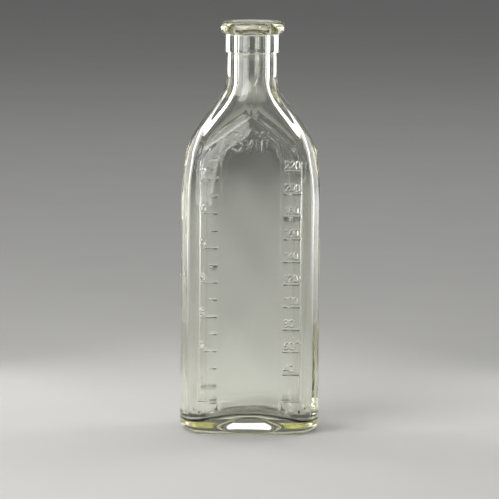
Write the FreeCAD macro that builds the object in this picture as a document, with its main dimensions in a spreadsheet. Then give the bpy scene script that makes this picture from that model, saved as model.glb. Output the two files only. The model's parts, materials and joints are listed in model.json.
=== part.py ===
"""Graduated eight-ounce glass medicine bottle: a parametric FreeCAD document, in millimetres.

The frame stands at the middle of the base, on the plane that the bottle rests on. +Z runs up the neck, the
graduated front panel faces -Y, and the two halves of the mould met on the plane Y = 0.
"""
import FreeCAD
import Part
import Sketcher
import math
import os

Vector = FreeCAD.Vector
doc = FreeCAD.newDocument("medicine_bottle")

# ---------------------------------------------------------------- driving dimensions
DIMENSIONS = {
    # plan section of the body
    "half_width": 31.0,
    "half_depth": 20.75,
    "front_half": 24.3,
    "side_half": 7.5,
    "wall": 2.8,
    # levels, from the standing plane up
    "base_top": 12.0,
    "waist_level": 101.0,
    "shoulder_level": 125.4,
    "neck_level": 155.8,
    "collar_level": 168.9,
    "lip_level": 177.4,
    "lip_widest_level": 180.8,
    "total_height": 183.0,
    # base
    "heel_round": 3.2,
    "foot_ring": 5.5,
    "pushup_height": 4.6,
    "floor_level": 4.4,
    "floor_round": 4.5,
    "arch_height": 4.6,
    "arch_foot": 21.0,
    "arch_crown": 10.0,
    # shoulder: the sides draw in by this much up to the shoulder, then follow the sections below
    "draw_in": 2.2,
    "gable_apex_level": 141.9,
    "hip_lean": 0.729,
    "hip_sweep": 0.527,
    "bore_start_level": 150.5,
    # neck, collar and lip
    "neck_radius": 11.2,
    "bore_radius": 6.4,
    "collar_radius": 12.05,
    "collar_round": 1.0,
    "lip_radius": 14.5,
    "lip_top_round": 1.9,
    "lip_under_round": 0.8,
    "mouth_radius": 9.6,
    "mouth_depth": 4.8,
    "mouth_round": 0.8,
    # raised marks on the front panel
    "relief": 0.4,
    "line_width": 0.55,
    "digit_height": 3.0,
    "digit_line": 0.42,
    # ounce scale, left of the panel
    "ounce_level": 22.4,
    "ounce_pitch": 15.37,
    "ounce_inner": 14.9,
    "ounce_length": 6.6,
    "half_ounce_length": 2.7,
    # metric scale, right of the panel
    "metric_level": 27.6,
    "metric_pitch": 10.07,
    "metric_inner": 14.6,
    "metric_length": 7.4,
    # raised lines that close the two scale bands
    "band_outer": 22.9,
    "band_bottom": 15.4,
    "band_top": 122.0,
    # raised borders of the plain panel between the scales
    "panel_half": 13.8,
    "panel_bottom": 8.0,
    "panel_bend_level": 122.0,
    "panel_top_half": 11.7,
    "panel_top_level": 132.0,
    "border_width": 1.2,
    # capacity mark
    "capacity_level": 126.6,
    "capacity_height": 4.8,
}

# The shoulder's sides, as sections of the same eight-sided plan: level, half width, half of the side flat.
SHOULDER_SECTIONS = {"lower": (134.0, 25.1, 6.4), "middle": (141.5, 19.9, 5.4), "upper": (149.5, 13.9, 3.9)}
# Inside of the shoulder: level, half width, half depth, half of the front flat, half of the side flat.
HOLLOW_SECTIONS = {"lower": (133.5, 22.2, 17.0, 10.5, 5.6), "middle": (141.5, 16.2, 14.0, 4.5, 4.2),
                   "upper": (150.5, 7.0, 7.0, 2.9, 2.9)}
for part_name, (level, width, flat) in SHOULDER_SECTIONS.items():
    DIMENSIONS[f"shoulder_{part_name}_level"] = level
    DIMENSIONS[f"shoulder_{part_name}_width"] = width
    DIMENSIONS[f"shoulder_{part_name}_flat"] = flat
for part_name, sizes in HOLLOW_SECTIONS.items():
    for size_name, value in zip(("level", "width", "depth", "front", "side"), sizes):
        DIMENSIONS[f"hollow_{part_name}_{size_name}"] = value

sheet = doc.addObject("Spreadsheet::Sheet", "dimensions")
for row, (alias, value) in enumerate(DIMENSIONS.items(), start=1):
    sheet.set(f"A{row}", alias)
    sheet.set(f"B{row}", str(value))
    sheet.setAlias(f"B{row}", alias)
doc.recompute()


def size(expression):
    """The value of an expression in the driving dimensions, in millimetres."""
    return float(sheet.evalExpression(expression))


def bound(expression):
    """The same expression as another object of the document reads it."""
    words = sorted(DIMENSIONS, key=len, reverse=True)
    out, i = "", 0
    while i < len(expression):
        word = next((w for w in words if expression.startswith(w, i)), None)
        out += f"dimensions.{word}" if word else expression[i]
        i += len(word) if word else 1
    return out


kept = []


def keep(shape_object, label):
    """Name a finished sub-part, so that it is checked and written at the end."""
    shape_object.Label = label
    kept.append(shape_object)
    return shape_object


# ---------------------------------------------------------------- sketches
def new_sketch(body, name, role="XY_Plane", level=None):
    """A sketch on one of the body's own origin planes, raised along the plane's normal to a level."""
    plane = next(p for p in body.Origin.OriginFeatures if p.Role == role)
    sketch = body.newObject("Sketcher::SketchObject", name)
    sketch.AttachmentSupport = [(plane, "")]
    sketch.MapMode = "FlatFace"
    if level is not None:
        sketch.setExpression(".AttachmentOffset.Base.z", bound(level))
    return sketch


def bind(sketch, name, constraint, expression):
    """Add a measured constraint under a name, and bind it to an expression."""
    index = sketch.addConstraint(constraint)
    sketch.renameConstraint(index, name)
    sketch.setExpression(f"Constraints.{name}", bound(expression))


def octagon(body, name, level, half_width, half_depth, front_half, side_half):
    """A sketch of the bottle's eight-sided plan, symmetric about both axes, at a level."""
    sketch = new_sketch(body, name, level=level)
    w, d, f, s = (size(text) for text in (half_width, half_depth, front_half, side_half))
    corners = [(-f, -d), (f, -d), (w, -s), (w, s), (f, d), (-f, d), (-w, s), (-w, -s)]
    for i, (x, y) in enumerate(corners):
        x_next, y_next = corners[(i + 1) % 8]
        sketch.addGeometry(Part.LineSegment(Vector(x, y, 0), Vector(x_next, y_next, 0)))
    for i in range(8):
        sketch.addConstraint(Sketcher.Constraint("Coincident", i, 2, (i + 1) % 8, 1))
    x_axis, y_axis = -1, -2
    for first, first_end, second, second_end, axis in (
            (0, 1, 0, 2, y_axis), (4, 1, 4, 2, y_axis), (0, 2, 4, 1, x_axis),
            (2, 1, 2, 2, x_axis), (6, 1, 6, 2, x_axis), (2, 2, 6, 1, y_axis)):
        sketch.addConstraint(Sketcher.Constraint("Symmetric", first, first_end, second, second_end, axis))
    bind(sketch, "front_flat", Sketcher.Constraint("DistanceX", 0, 1, 0, 2, 2 * f), f"2 * ({front_half})")
    bind(sketch, "side_flat", Sketcher.Constraint("DistanceY", 2, 1, 2, 2, 2 * s), f"2 * ({side_half})")
    bind(sketch, "full_width", Sketcher.Constraint("DistanceX", 6, 1, 2, 2, 2 * w), f"2 * ({half_width})")
    bind(sketch, "full_depth", Sketcher.Constraint("DistanceY", 0, 2, 4, 1, 2 * d), f"2 * ({half_depth})")
    return sketch


def inset(half_width, half_depth, front_half, side_half, gap):
    """The four sizes of an eight-sided plan moved inwards by a gap, as expressions."""
    lean = f"atan((({half_width}) - ({front_half})) / (({half_depth}) - ({side_half})))"
    return (f"({half_width}) - ({gap})", f"({half_depth}) - ({gap})",
            f"({front_half}) - ({gap}) * tan(45 deg - ({lean}) / 2)", f"({side_half}) - ({gap}) * tan(({lean}) / 2)")


def outline(sketch, corners, prefix=""):
    """Add a closed outline of straight lines to a sketch; each corner is an (x, y) pair of expressions."""
    first = sketch.GeometryCount
    count = len(corners)
    places = [(size(x), size(y)) for x, y in corners]
    for i, (x, y) in enumerate(places):
        x_next, y_next = places[(i + 1) % count]
        sketch.addGeometry(Part.LineSegment(Vector(x, y, 0), Vector(x_next, y_next, 0)))
    for i in range(count):
        sketch.addConstraint(Sketcher.Constraint("Coincident", first + i, 2, first + (i + 1) % count, 1))
    origin = (-1, 1)
    for i, ((x, y), (x_text, y_text)) in enumerate(zip(places, corners)):
        for axis, value, text in (("DistanceX", x, x_text), ("DistanceY", y, y_text)):
            point = (first + i, 1)
            ends, sign = ((*origin, *point), "") if value >= 0 else ((*point, *origin), "-")
            bind(sketch, f"{prefix}{axis[-1].lower()}{i}", Sketcher.Constraint(axis, *ends, abs(value)),
                 f"{sign}({text})")


# ---------------------------------------------------------------- features
def pad(body, sketch, length):
    """Pad a sketch by a length, given as an expression."""
    feature = body.newObject("PartDesign::Pad", sketch.Name + "_pad")
    feature.Profile = sketch
    feature.setExpression("Length", bound(length))
    return feature


def loft(body, sketches, kind="AdditiveLoft", ruled=False):
    """Join sketches of the same plan with a loft; ruled gives flat faces between them."""
    feature = body.newObject(f"PartDesign::{kind}", sketches[0].Name + "_loft")
    feature.Profile = sketches[0]
    feature.Sections = sketches[1:]
    feature.Ruled = ruled
    return feature


def turned(name, corners):
    """A ring turned about the Z axis; its corners are (radius, level) pairs of expressions."""
    body = doc.addObject("PartDesign::Body", name + "_body")
    sketch = new_sketch(body, name + "_profile", "XZ_Plane")
    outline(sketch, corners)
    feature = body.newObject("PartDesign::Revolution", name + "_turn")
    feature.Profile = sketch
    feature.ReferenceAxis = (sketch, ["V_Axis"])
    feature.Angle = 360
    doc.recompute()
    return body


def round_edges(body, radius, wanted):
    """Round the edges of the body's tip for which wanted(edge) is true."""
    base = body.Tip
    names = [f"Edge{i}" for i, edge in enumerate(base.Shape.Edges, start=1) if wanted(edge)]
    feature = body.newObject("PartDesign::Fillet", base.Name + "_round")
    feature.Base = (base, names)
    feature.setExpression("Radius", bound(radius))
    doc.recompute()
    return feature


def is_ring(radius, level):
    """A test for a round edge of a radius at a level, both given as expressions."""
    def test(edge):
        box = edge.BoundBox
        return (abs(box.ZMin - size(level)) < 0.01 and abs(box.ZMax - size(level)) < 0.01
                and abs(box.XMax - size(radius)) < 0.01)
    return test


PLAN = ("half_width", "half_depth", "front_half", "side_half")
SHOULDER_PLAN = ("half_width - draw_in", "half_depth", "front_half - draw_in", "side_half")

# ---------------------------------------------------------------- base: heel, foot ring and push-up
base = doc.addObject("PartDesign::Body", "base_body")
pad(base, octagon(base, "base_plan", "0 * wall", *PLAN), "base_top")
doc.recompute()
round_edges(base, "heel_round", lambda edge: edge.BoundBox.ZMax < 0.01)
loft(base, [octagon(base, "pushup_foot", "0 * wall", *inset(*PLAN, "foot_ring")),
            octagon(base, "pushup_crown", "pushup_height", *inset(*PLAN, "foot_ring + 2 * pushup_height"))],
     "SubtractiveLoft")
loft(base, [octagon(base, "floor_edge", "base_top", *inset(*PLAN, "wall")),
            octagon(base, "floor_bend", "floor_level + floor_round / 3", *inset(*PLAN, "wall + floor_round / 3")),
            octagon(base, "floor_plan", "floor_level", *inset(*PLAN, "wall + floor_round"))],
     "SubtractiveLoft", ruled=True)
# the floor arches up over the push-up, from side to side
arch = new_sketch(base, "floor_arch", "XZ_Plane", "wall - half_depth")
outline(arch, [("-arch_foot", "floor_level"), ("arch_foot", "floor_level"),
               ("arch_crown", "floor_level + arch_height"), ("-arch_crown", "floor_level + arch_height")])
pad(base, arch, "2 * (half_depth - wall)")
doc.recompute()
keep(base, "base")

# ---------------------------------------------------------------- body: the eight-sided tube
tube = doc.addObject("PartDesign::Body", "tube_body")
MIDDLE_PLAN = ("half_width - draw_in / 4", "half_depth", "front_half - draw_in / 4", "side_half")
tube_levels = (("base_top", PLAN), ("waist_level", PLAN), ("(waist_level + shoulder_level) / 2", MIDDLE_PLAN),
               ("shoulder_level", SHOULDER_PLAN))
loft(tube, [octagon(tube, f"tube_plan_{i}", level, *plan) for i, (level, plan) in enumerate(tube_levels)],
     ruled=True)
loft(tube, [octagon(tube, f"tube_hollow_{i}", level, *inset(*plan, "wall"))
            for i, (level, plan) in enumerate(tube_levels)], "SubtractiveLoft", ruled=True)
doc.recompute()
keep(tube, "body")

# ---------------------------------------------------------------- shoulder: hipped roof over drawn-in sides
sides = doc.addObject("PartDesign::Body", "shoulder_sides")


def side_plan(width, flat):
    """The eight-sided plan of the drawn-in sides, whose corners keep the slope that they have on the body."""
    slope = "(half_width - front_half) / (half_depth - side_half)"
    return (width, "half_depth", f"{width} - (half_depth - {flat}) * {slope}", flat)


side_sketches = [octagon(sides, "sides_foot", "shoulder_level", *SHOULDER_PLAN)]
for part_name in SHOULDER_SECTIONS:
    plan = side_plan(f"shoulder_{part_name}_width", f"shoulder_{part_name}_flat")
    side_sketches.append(octagon(sides, f"sides_{part_name}", f"shoulder_{part_name}_level", *plan))
side_sketches.append(octagon(sides, "sides_top", "neck_level", *side_plan("neck_radius", "0.25 * neck_radius")))
loft(sides, side_sketches, ruled=True)

roof = doc.addObject("PartDesign::Body", "shoulder_roof")
roof_sketches = []
for name, level in (("roof_foot", "shoulder_level"), ("roof_top", "neck_level")):
    reach = f"half_depth + (gable_apex_level - {level}) * hip_lean"
    sketch = new_sketch(roof, name, level=level)
    outline(sketch, [(f"({reach}) / hip_sweep", "0 * wall"), ("0 * wall", reach),
                     (f"-({reach}) / hip_sweep", "0 * wall"), ("0 * wall", f"-({reach})")])
    roof_sketches.append(sketch)
loft(roof, roof_sketches, ruled=True)

hollow = doc.addObject("PartDesign::Body", "shoulder_hollow")
hollow_sketches = [octagon(hollow, "hollow_foot", "shoulder_level", *inset(*SHOULDER_PLAN, "wall"))]
for part_name in HOLLOW_SECTIONS:
    words = [f"hollow_{part_name}_{word}" for word in ("level", "width", "depth", "front", "side")]
    hollow_sketches.append(octagon(hollow, f"hollow_{part_name}", *words))
loft(hollow, hollow_sketches, ruled=True)
doc.recompute()

drawn_in = doc.addObject("Part::MultiCommon", "drawn_in_roof")
drawn_in.Shapes = [sides, roof]
neck_root = doc.addObject("Part::Cylinder", "neck_root")
neck_root.setExpression("Radius", bound("neck_radius"))
neck_root.setExpression("Height", bound("neck_level - shoulder_upper_level"))
neck_root.setExpression(".Placement.Base.z", bound("shoulder_upper_level"))
solid_shoulder = doc.addObject("Part::MultiFuse", "solid_shoulder")
solid_shoulder.Shapes = [drawn_in, neck_root]
bore_root = doc.addObject("Part::Cylinder", "bore_root")
bore_root.setExpression("Radius", bound("bore_radius"))
bore_root.setExpression("Height", bound("neck_level - hollow_middle_level"))
bore_root.setExpression(".Placement.Base.z", bound("hollow_middle_level"))
whole_hollow = doc.addObject("Part::MultiFuse", "whole_hollow")
whole_hollow.Shapes = [hollow, bore_root]
shoulder = doc.addObject("Part::Cut", "shoulder_cut")
shoulder.Base = solid_shoulder
shoulder.Tool = whole_hollow
doc.recompute()
keep(shoulder, "shoulder")

# ---------------------------------------------------------------- neck, collar and lip
keep(turned("neck", [("bore_radius", "neck_level"), ("neck_radius", "neck_level"),
                     ("neck_radius", "collar_level"), ("bore_radius", "collar_level")]), "neck")

collar = turned("collar", [("bore_radius", "collar_level"), ("collar_radius", "collar_level"),
                           ("collar_radius", "lip_level"), ("bore_radius", "lip_level")])
round_edges(collar, "collar_round", is_ring("collar_radius", "collar_level"))
keep(collar, "collar")

lip = turned("lip", [("bore_radius", "lip_level"), ("collar_radius", "lip_level"),
                     ("lip_radius", "lip_widest_level"), ("lip_radius", "total_height"),
                     ("mouth_radius", "total_height"), ("bore_radius", "total_height - mouth_depth")])
round_edges(lip, "lip_top_round", is_ring("lip_radius", "total_height"))
round_edges(lip, "lip_under_round", is_ring("lip_radius", "lip_widest_level"))
round_edges(lip, "mouth_round", is_ring("mouth_radius", "total_height"))
keep(lip, "lip")


# ---------------------------------------------------------------- raised lines on the front panel
def raised_bar(name, left, level, length):
    """One raised line across a scale; its three sizes are expressions."""
    bar = doc.addObject("Part::Box", name)
    bar.setExpression("Length", bound(length))
    bar.setExpression("Width", bound("relief"))
    bar.setExpression("Height", bound("line_width"))
    bar.setExpression(".Placement.Base.x", bound(left))
    bar.setExpression(".Placement.Base.y", bound("-(half_depth + relief)"))
    bar.setExpression(".Placement.Base.z", bound(f"{level} - line_width / 2"))
    return bar


def group(name, members):
    """One node of several separate solids."""
    compound = doc.addObject("Part::Compound", name)
    compound.Links = members
    doc.recompute()
    return compound


OUNCES = 7
METRIC_LINES = 10
METRIC_STEP = 20
METRIC_FIRST = 40

ounce_bars = []
for ounce in range(OUNCES):
    level = f"ounce_level + {ounce} * ounce_pitch"
    ounce_bars.append(raised_bar(f"ounce_{ounce + 1}", "-ounce_inner - ounce_length", level, "ounce_length"))
for ounce in range(OUNCES + 1):
    level = f"ounce_level + {ounce - 0.5} * ounce_pitch"
    ounce_bars.append(raised_bar(f"half_ounce_{ounce}", "-ounce_inner - half_ounce_length", level,
                                 "half_ounce_length"))
keep(group("ounce_bars", ounce_bars), "ounce_lines")

metric_bars = [raised_bar(f"metric_{i + 1}", "metric_inner", f"metric_level + {i} * metric_pitch", "metric_length")
               for i in range(METRIC_LINES)]
keep(group("metric_bars", metric_bars), "metric_lines")


# ---------------------------------------------------------------- raised outlines on the front panel
def raised_outlines(name, outlines):
    """Pad closed outlines, drawn in (x, z) expressions, outwards from the front panel."""
    body = doc.addObject("PartDesign::Body", name + "_body")
    body.AllowCompound = True
    sketch = new_sketch(body, name + "_outline", "XZ_Plane", "half_depth")
    for i, corners in enumerate(outlines):
        outline(sketch, corners, prefix=f"line{i}_")
    pad(body, sketch, "relief")
    doc.recompute()
    return body


def border(sign):
    """One long border of the plain panel: upright, then leaning in towards the gable."""
    inner = [("panel_half - border_width / 2", "panel_bottom"), ("panel_half - border_width / 2", "panel_bend_level"),
             ("panel_top_half - border_width / 2", "panel_top_level")]
    outer = [("panel_top_half + border_width / 2", "panel_top_level"),
             ("panel_half + border_width / 2", "panel_bend_level"), ("panel_half + border_width / 2", "panel_bottom")]
    return [(f"{sign}({x})", z) for x, z in inner + outer]


keep(raised_outlines("panel_borders", [border(""), border("-")]), "panel_borders")


def band_line(sign):
    """The outer upright line of a scale band, turned in at its foot."""
    corners = [("band_outer", "band_bottom"), ("band_outer", "band_top"), ("band_outer - line_width", "band_top"),
               ("band_outer - line_width", "band_bottom + line_width"),
               ("metric_inner + line_width", "band_bottom + line_width"), ("metric_inner + line_width", "band_bottom")]
    return [(f"{sign}({x})", z) for x, z in corners]


keep(raised_outlines("band_borders", [band_line(""), band_line("-")]), "band_borders")


# ---------------------------------------------------------------- raised figures on the front panel
# A figure is drawn with strokes in a cell of height 1: a line has two ends, and an arc has a centre, a radius and
# two angles in degrees.
FIGURES = {
    "0": [("arc", 0.28, 0.72, 0.28, 0, 180), ("line", 0.0, 0.72, 0.0, 0.28), ("arc", 0.28, 0.28, 0.28, 180, 360),
          ("line", 0.56, 0.28, 0.56, 0.72)],
    "1": [("line", 0.28, 0.0, 0.28, 1.0), ("line", 0.28, 1.0, 0.1, 0.84)],
    "2": [("arc", 0.28, 0.72, 0.28, -35, 180), ("line", 0.51, 0.56, 0.0, 0.0), ("line", 0.0, 0.0, 0.56, 0.0)],
    "3": [("arc", 0.26, 0.76, 0.24, -90, 160), ("arc", 0.26, 0.26, 0.26, -160, 90)],
    "4": [("line", 0.42, 0.0, 0.42, 1.0), ("line", 0.42, 1.0, 0.0, 0.3), ("line", 0.0, 0.3, 0.58, 0.3)],
    "5": [("line", 0.5, 1.0, 0.06, 1.0), ("line", 0.06, 1.0, 0.06, 0.54), ("arc", 0.26, 0.3, 0.3, -150, 130)],
    "6": [("arc", 0.28, 0.28, 0.28, 0, 360), ("arc", 0.78, 0.28, 0.78, 115, 180)],
    "7": [("line", 0.0, 1.0, 0.54, 1.0), ("line", 0.54, 1.0, 0.16, 0.0)],
    "8": [("arc", 0.28, 0.75, 0.25, 0, 360), ("arc", 0.28, 0.26, 0.26, 0, 360)],
    "V": [("line", 0.0, 1.0, 0.3, 0.0), ("line", 0.3, 0.0, 0.6, 1.0)],
    # each unit has a dot above it
    "I": [("line", 0.1, 0.0, 0.1, 1.0), ("line", 0.1, 1.68, 0.1, 1.74)],
    # the apothecary's ounce sign
    "ounce": [("line", 0.22, 1.86, 0.68, 1.86), ("line", 0.68, 1.86, 0.36, 1.4), ("line", 0.36, 1.4, 0.74, 1.4),
              ("line", 0.74, 1.4, 0.42, 0.84), ("arc", 0.42, 0.42, 0.42, -150, 90)],
}
STEP = 0.82
ADVANCE = {"1": 0.6, "I": 0.49, "ounce": 1.17, "V": 1.0}
CAPACITY_HALF = 1.71


def rib(stroke, x, z, height):
    """One stroke as a raised rib with round ends, standing out from the front panel."""
    outward = Vector(0, -1, 0)
    half_line = size("digit_line / 2")

    def place(u, v):
        return Vector(x + u * height, -size("half_depth"), z + v * height)

    def circle(centre, radius):
        return Part.Wire(Part.Circle(centre, outward, radius).toShape())

    if stroke[0] == "line":
        start, end = place(*stroke[1:3]), place(*stroke[3:5])
        across = (end - start).cross(outward)
        across.Length = half_line
        bar = Part.Face(Part.makePolygon([start + across, end + across, end - across, start - across, start + across]))
        face = bar.fuse([Part.Face(circle(start, half_line)), Part.Face(circle(end, half_line))]).removeSplitter()
    else:
        centre, radius = place(*stroke[1:3]), stroke[3] * height
        low, high = stroke[4:6]
        if high - low < 360:
            arc = Part.Edge(Part.Circle(centre, outward, radius), math.radians(low + 90), math.radians(high + 90))
            face = Part.Face(Part.Wire([arc]).makeOffset2D(half_line))
        else:
            face = Part.Face([circle(centre, radius + half_line), circle(centre, radius - half_line)])
    return face.extrude(outward * size("relief"))


def figures(text, x, z, height):
    """The raised figures of a text, from its lower left corner on."""
    solids = []
    for letter in text:
        strokes = [rib(stroke, x, z, height) for stroke in FIGURES[letter]]
        solids.append(strokes[0].fuse(strokes[1:]).removeSplitter() if strokes[1:] else strokes[0])
        x += ADVANCE.get(letter, STEP) * height
    return solids


def keep_figures(name, solids):
    """Keep a group of raised figures as one node."""
    feature = doc.addObject("Part::Feature", name + "_ribs")
    feature.Shape = Part.Compound([solid for shape in solids for solid in shape.Solids])
    feature.Placement = FreeCAD.Placement()
    keep(feature, name)


digit_height = size("digit_height")
ounce_figures = []
for ounce in range(OUNCES):
    left = -size("ounce_inner + ounce_length + line_width")
    level = size(f"ounce_level + {ounce} * ounce_pitch + 2 * line_width")
    ounce_figures += figures(str(ounce + 1), left, level, digit_height)
keep_figures("ounce_figures", ounce_figures)

metric_figures = []
for i in range(METRIC_LINES):
    level = size(f"metric_level + {i} * metric_pitch + 2 * line_width")
    metric_figures += figures(str(METRIC_FIRST + i * METRIC_STEP), size("metric_inner + line_width"), level,
                              digit_height)
keep_figures("metric_figures", metric_figures)

mark_height = size("capacity_height")
keep_figures("capacity_mark", figures(["ounce", "V", "I", "I", "I"], -CAPACITY_HALF * mark_height,
                                      size("capacity_level"), mark_height))

# ---------------------------------------------------------------- checks and files
doc.recompute()
for item in doc.Objects:
    if {"Invalid", "Error"} & set(item.State):
        raise RuntimeError(f"{item.Name} failed: {item.State}")
os.makedirs("parts", exist_ok=True)
for node in kept:
    shape = node.Shape
    if shape.isNull() or not shape.isValid() or not shape.Solids:
        raise RuntimeError(f"{node.Label} has no valid solid")
    box = shape.BoundBox
    shape.exportStep(f"parts/{node.Label}.step")
    print(f"{node.Label}: {len(shape.Solids)} solids, {shape.Volume / 1000:.2f} ml of glass, "
          f"{box.XLength:.2f} x {box.YLength:.2f} x {box.ZLength:.2f}")
print(f"nodes: {len(kept)}, glass {sum(node.Shape.Volume for node in kept) / 1000:.1f} ml")
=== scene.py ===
"""Looks of the graduated glass medicine bottle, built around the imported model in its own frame.

The bottle is one piece of moulded glass, so one closed mesh stands for every moulded region of the frame: it runs
from the push-up under the base up the outside, over the lip and down the inside to the floor. Shapes are worked out
in millimetres and turned to metres where the mesh is made.
"""
import json
import logging
import math
from dataclasses import dataclass, field
from enum import Enum

import bpy
import numpy as np
from mathutils import Matrix, Vector

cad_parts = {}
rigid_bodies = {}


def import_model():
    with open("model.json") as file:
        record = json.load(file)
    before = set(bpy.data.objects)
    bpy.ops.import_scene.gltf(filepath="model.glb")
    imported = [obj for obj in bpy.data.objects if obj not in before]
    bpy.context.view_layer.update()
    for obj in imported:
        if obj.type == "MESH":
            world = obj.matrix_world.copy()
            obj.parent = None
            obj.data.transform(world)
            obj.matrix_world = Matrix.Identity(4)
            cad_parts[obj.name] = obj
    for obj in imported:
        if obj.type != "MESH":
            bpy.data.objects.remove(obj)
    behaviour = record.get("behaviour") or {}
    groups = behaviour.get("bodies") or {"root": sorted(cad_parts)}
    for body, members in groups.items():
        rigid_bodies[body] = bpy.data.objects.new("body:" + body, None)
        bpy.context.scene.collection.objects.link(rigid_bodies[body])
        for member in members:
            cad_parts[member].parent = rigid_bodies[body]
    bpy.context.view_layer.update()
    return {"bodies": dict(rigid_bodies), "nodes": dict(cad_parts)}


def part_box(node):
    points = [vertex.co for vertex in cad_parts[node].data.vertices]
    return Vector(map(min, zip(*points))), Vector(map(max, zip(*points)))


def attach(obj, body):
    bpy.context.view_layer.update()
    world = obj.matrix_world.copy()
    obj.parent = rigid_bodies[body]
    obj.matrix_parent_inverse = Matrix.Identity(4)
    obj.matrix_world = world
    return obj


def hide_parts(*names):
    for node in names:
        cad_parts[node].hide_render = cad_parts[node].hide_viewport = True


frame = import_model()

log = logging.getLogger("medicine_bottle")
Array = np.ndarray
Knot = tuple[float, float, float]  # a place, the curve's value there and its slope
Point = tuple[float, float]  # a distance from the axis and a level
EdgeVertices = dict[tuple[int, int, str], list[int]]  # extra vertices on a coarse cell's edge: by row, column, edge
MM = 0.001
BODY = "root"
SAME = 1e-9  # how close two places are when they are one
RAY_NEAR, RAY_FAR, RAY_HALVINGS = 0.5, 60.0, 36  # where the search for the surface starts, and how often it halves


# ---- plain helpers
def linear(hex_colour: str) -> tuple[float, float, float, float]:
    """Turn an sRGB hex value, such as "#C8C8BE", to a linear colour with an alpha of 1."""
    parts = [int(hex_colour[i:i + 2], 16) / 255 for i in (1, 3, 5)]
    return (*(c / 12.92 if c <= 0.04045 else ((c + 0.055) / 1.055) ** 2.4 for c in parts), 1.0)


def node(tree: bpy.types.NodeTree, kind: str, settings: dict | None = None, links: dict | None = None,
         **properties: object) -> bpy.types.Node:
    """Add a shader node with its settings and links.

    Args:
        tree: the tree that the node joins.
        kind: the node's type name, after "ShaderNode".
        settings: values of its input sockets, by name or number.
        links: output sockets that feed its inputs, by name or number.
        properties: the node's own properties.

    Returns:
        The new node.
    """
    made = tree.nodes.new("ShaderNode" + kind)
    for name, value in properties.items():
        setattr(made, name, value)
    for key, value in (settings or {}).items():
        made.inputs[key].default_value = value
    for key, socket in (links or {}).items():
        tree.links.new(socket, made.inputs[key])
    return made


def emptied(holder: bpy.types.Material | bpy.types.World | bpy.types.Light) -> bpy.types.NodeTree:
    """Turn on the nodes of a material, world or light.

    Args:
        holder: what the nodes belong to.

    Returns:
        Its node tree, emptied.
    """
    holder.use_nodes = True
    holder.node_tree.nodes.clear()
    return holder.node_tree


def placed(name: str, data: bpy.types.ID) -> bpy.types.Object:
    """Put a mesh, light or camera in the scene.

    Args:
        name: the object's name.
        data: the mesh, light or camera.

    Returns:
        The object.
    """
    made = bpy.data.objects.new(name, data)
    bpy.context.scene.collection.objects.link(made)
    return made


def smooth_step(low: float, high: float, value: Array) -> Array:
    """A soft step from 0 at low to 1 at high."""
    share = np.clip((value - low) / (high - low), 0.0, 1.0)
    return share * share * (3 - 2 * share)


def soft_max(a: Array, b: Array, blend: float) -> Array:
    """The larger of two fields, blended where they come within a distance of each other."""
    overlap = np.maximum(blend - np.abs(a - b), 0.0) / blend
    return np.maximum(a, b) + overlap * overlap * blend / 4


def soft_min(a: Array, b: Array, blend: float) -> Array:
    """The smaller of two fields, blended where they come within a distance of each other."""
    return -soft_max(-a, -b, blend)


def eased_curve(knots: list[Knot], at: Array) -> Array:
    """A smooth curve through knots.

    Args:
        knots: the knots, in rising order.
        at: the places to read.

    Returns:
        The curve's values; beyond its ends the curve stays level.
    """
    places, values, slopes = (np.array(column, float) for column in zip(*knots))
    at = np.clip(at, places[0], places[-1])
    i = np.clip(np.searchsorted(places, at, side="right") - 1, 0, len(places) - 2)
    span = places[i + 1] - places[i]
    t = (at - places[i]) / span
    return ((2 * t ** 3 - 3 * t ** 2 + 1) * values[i] + (t ** 3 - 2 * t ** 2 + t) * span * slopes[i]
            + (3 * t ** 2 - 2 * t ** 3) * values[i + 1] + (t ** 3 - t ** 2) * span * slopes[i + 1])


def arc(centre: Point, radius: float, start: float, end: float, steps: int) -> list[Point]:
    """Points along a round stretch of a profile.

    Args:
        centre: the arc's centre.
        radius: the arc's radius.
        start: the first angle in degrees, counted from the outward direction.
        end: the last angle in degrees.
        steps: how many points.

    Returns:
        The points.
    """
    angles = np.radians(np.linspace(start, end, steps))
    return [(centre[0] + radius * math.cos(a), centre[1] + radius * math.sin(a)) for a in angles]


def merged(fixed: Array, extra: Array, gap: float) -> Array:
    """Add values to a row of them.

    Args:
        fixed: the values that all stay.
        extra: values to add where they lie between the fixed ones.
        gap: how close to a fixed value an added one may not come.

    Returns:
        Both, in rising order.
    """
    inside = extra[(extra > fixed.min()) & (extra < fixed.max())]
    clear = np.min(np.abs(inside[:, None] - fixed[None, :]), axis=1) > gap
    return np.sort(np.concatenate([fixed, inside[clear]]))


def shared_places(fine: Array, coarse: Array) -> dict[int, int]:
    """Places in a fine row whose value the coarse row also holds, each with its place in the coarse row."""
    return {int(np.argmin(np.abs(fine - value))): i for i, value in enumerate(coarse)
            if np.min(np.abs(fine - value)) < SAME}


# ---- the frame's sizes
@dataclass(frozen=True)
class Sizes:
    """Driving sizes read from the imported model, in millimetres."""

    half_width: float
    half_depth: float
    shoulder_level: float
    neck_level: float
    collar_level: float
    lip_level: float
    height: float
    neck_radius: float
    collar_radius: float
    lip_radius: float

    @staticmethod
    def read() -> "Sizes":
        """Read the sizes from the boxes of the model's nodes.

        Returns:
            The sizes.
        """
        body, shoulder, neck, collar, lip = (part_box(name) for name in ("body", "shoulder", "neck", "collar", "lip"))
        return Sizes(*(round(value / MM, 3) for value in (
            body[1].x, body[1].y, shoulder[0].z, neck[0].z, collar[0].z, lip[0].z, lip[1].z,
            neck[1].x, collar[1].x, lip[1].x)))


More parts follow.
